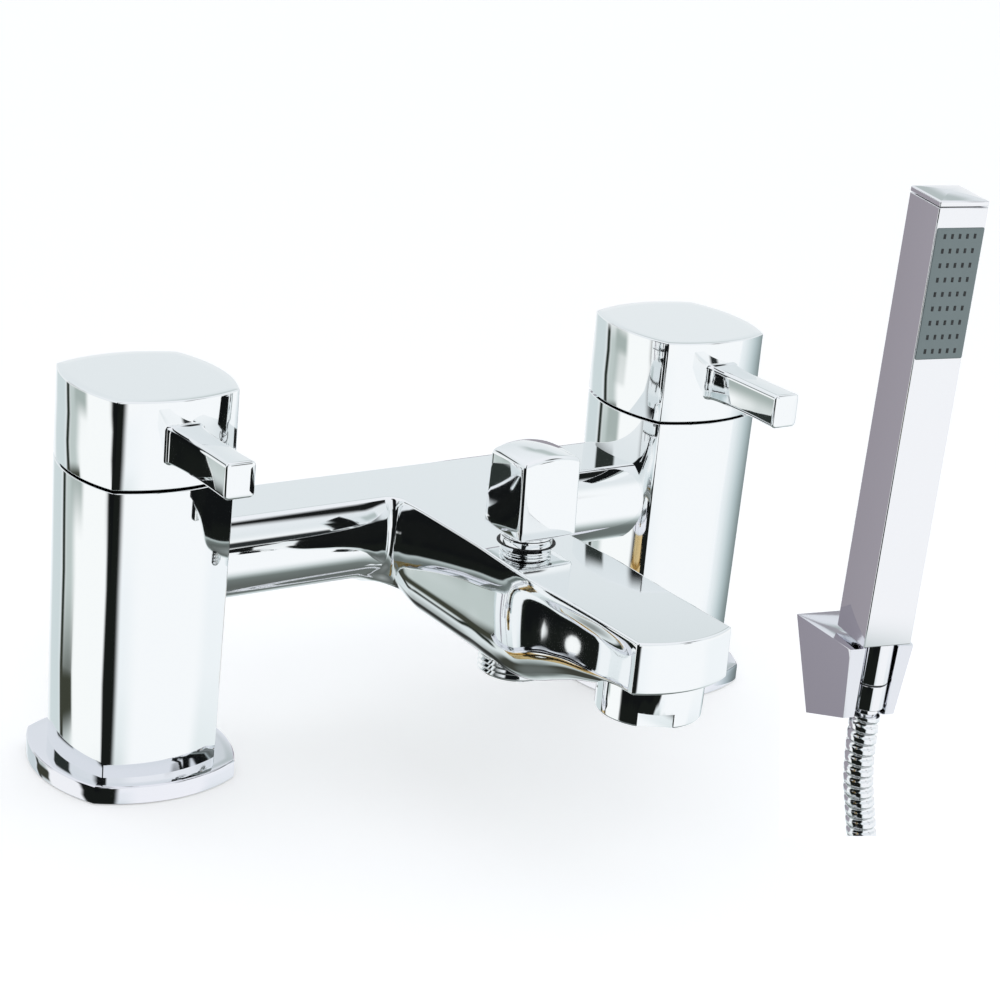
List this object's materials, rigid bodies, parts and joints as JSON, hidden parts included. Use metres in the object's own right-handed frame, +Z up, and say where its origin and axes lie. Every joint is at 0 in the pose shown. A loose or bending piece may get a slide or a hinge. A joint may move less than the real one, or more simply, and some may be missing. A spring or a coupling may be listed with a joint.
{
  "type": "bath shower mixer",
  "caption": "Deck-mounted bath mixer with lever caps on bowed pillars, a bridge spout with pull-up diverter, and a square handset on a ribbed hose in its wall bracket.",
  "frame": {"origin": "on the deck, midway between the two pillars' axes", "axes": "+X from the left pillar to the right one, -Y the way that the spout points, +Z up from the deck"},
  "size_m": [0.4196, 0.2503, 0.4274],
  "materials": {
    "chrome": "polished",
    "dark_chrome": "polished",
    "hose_chrome": "polished ribs",
    "brass": "machined",
    "steel": "drawn",
    "ceramic": "lapped",
    "rubber": "moulded",
    "nozzle_grey": "moulded",
    "nozzle_dark": "soft moulded"
  },
  "bodies": {
    "root": {"left_pillar": "chrome", "left_base_flange": "chrome", "left_deck_gasket": "rubber", "left_inlet_tail": "brass", "left_backnut": "brass", "left_valve_seal": "rubber", "left_fixed_disc": "ceramic", "left_valve_body": "brass", "right_pillar": "chrome", "right_base_flange": "chrome", "right_deck_gasket": "rubber", "right_inlet_tail": "brass", "right_backnut": "brass", "right_valve_seal": "rubber", "right_fixed_disc": "ceramic", "right_valve_body": "brass", "bridge_spout": "chrome", "bridge_seals": "rubber", "lock_screws": "steel", "shower_outlet": "chrome", "diverter_seat": "brass", "diverter_gland": "chrome", "diverter_spring": "steel", "aerator_housing": "chrome", "aerator_insert": "nozzle_grey", "aerator_washer": "rubber", "wall_bracket": "chrome", "hose_drop": "hose_chrome", "hose_coil": "hose_chrome", "hose_end_ferrule": "chrome", "hose_end_nut": "chrome", "hose_end_washer": "rubber"},
    "left_handle": {"left_handle_cap": "chrome", "left_lever": "chrome", "left_handle_screw": "steel", "left_spindle": "brass", "left_moving_disc": "ceramic"},
    "right_handle": {"right_handle_cap": "chrome", "right_lever": "chrome", "right_handle_screw": "steel", "right_spindle": "brass", "right_moving_disc": "ceramic"},
    "diverter": {"diverter_knob": "chrome", "diverter_rod": "steel", "diverter_piston": "brass", "diverter_seal": "rubber"},
    "handset": {"handset_body": "chrome", "handset_end_cap": "chrome", "spray_plate": "dark_chrome", "spray_nozzles": "nozzle_dark", "handset_inlet": "chrome", "handset_washer": "rubber", "hose_nut": "chrome", "hose_ferrule": "chrome"}
  },
  "joints": [
    {"name": "left_handle_turn", "type": "hinge", "parent": "root", "child": "left_handle", "pos_m": [-0.09, 0, 0.1], "axis": [0, 0, 1], "range_deg": [-90, 0]},
    {"name": "right_handle_turn", "type": "hinge", "parent": "root", "child": "right_handle", "pos_m": [0.09, 0, 0.1], "axis": [0, 0, 1], "range_deg": [0, 90]},
    {"name": "diverter_lift", "type": "slide", "parent": "root", "child": "diverter", "axis": [0, 0, 1], "range_m": [0, 0.008], "stiffness_N_per_m": 300, "springref_m": -0.003, "deforming": ["diverter_spring"]},
    {"name": "handset_lift", "type": "slide", "parent": "root", "child": "handset", "axis": [-0.0089, -0.0466, 0.9989], "range_m": [0, 0.03], "deforming": ["hose_drop"]}
  ]
}
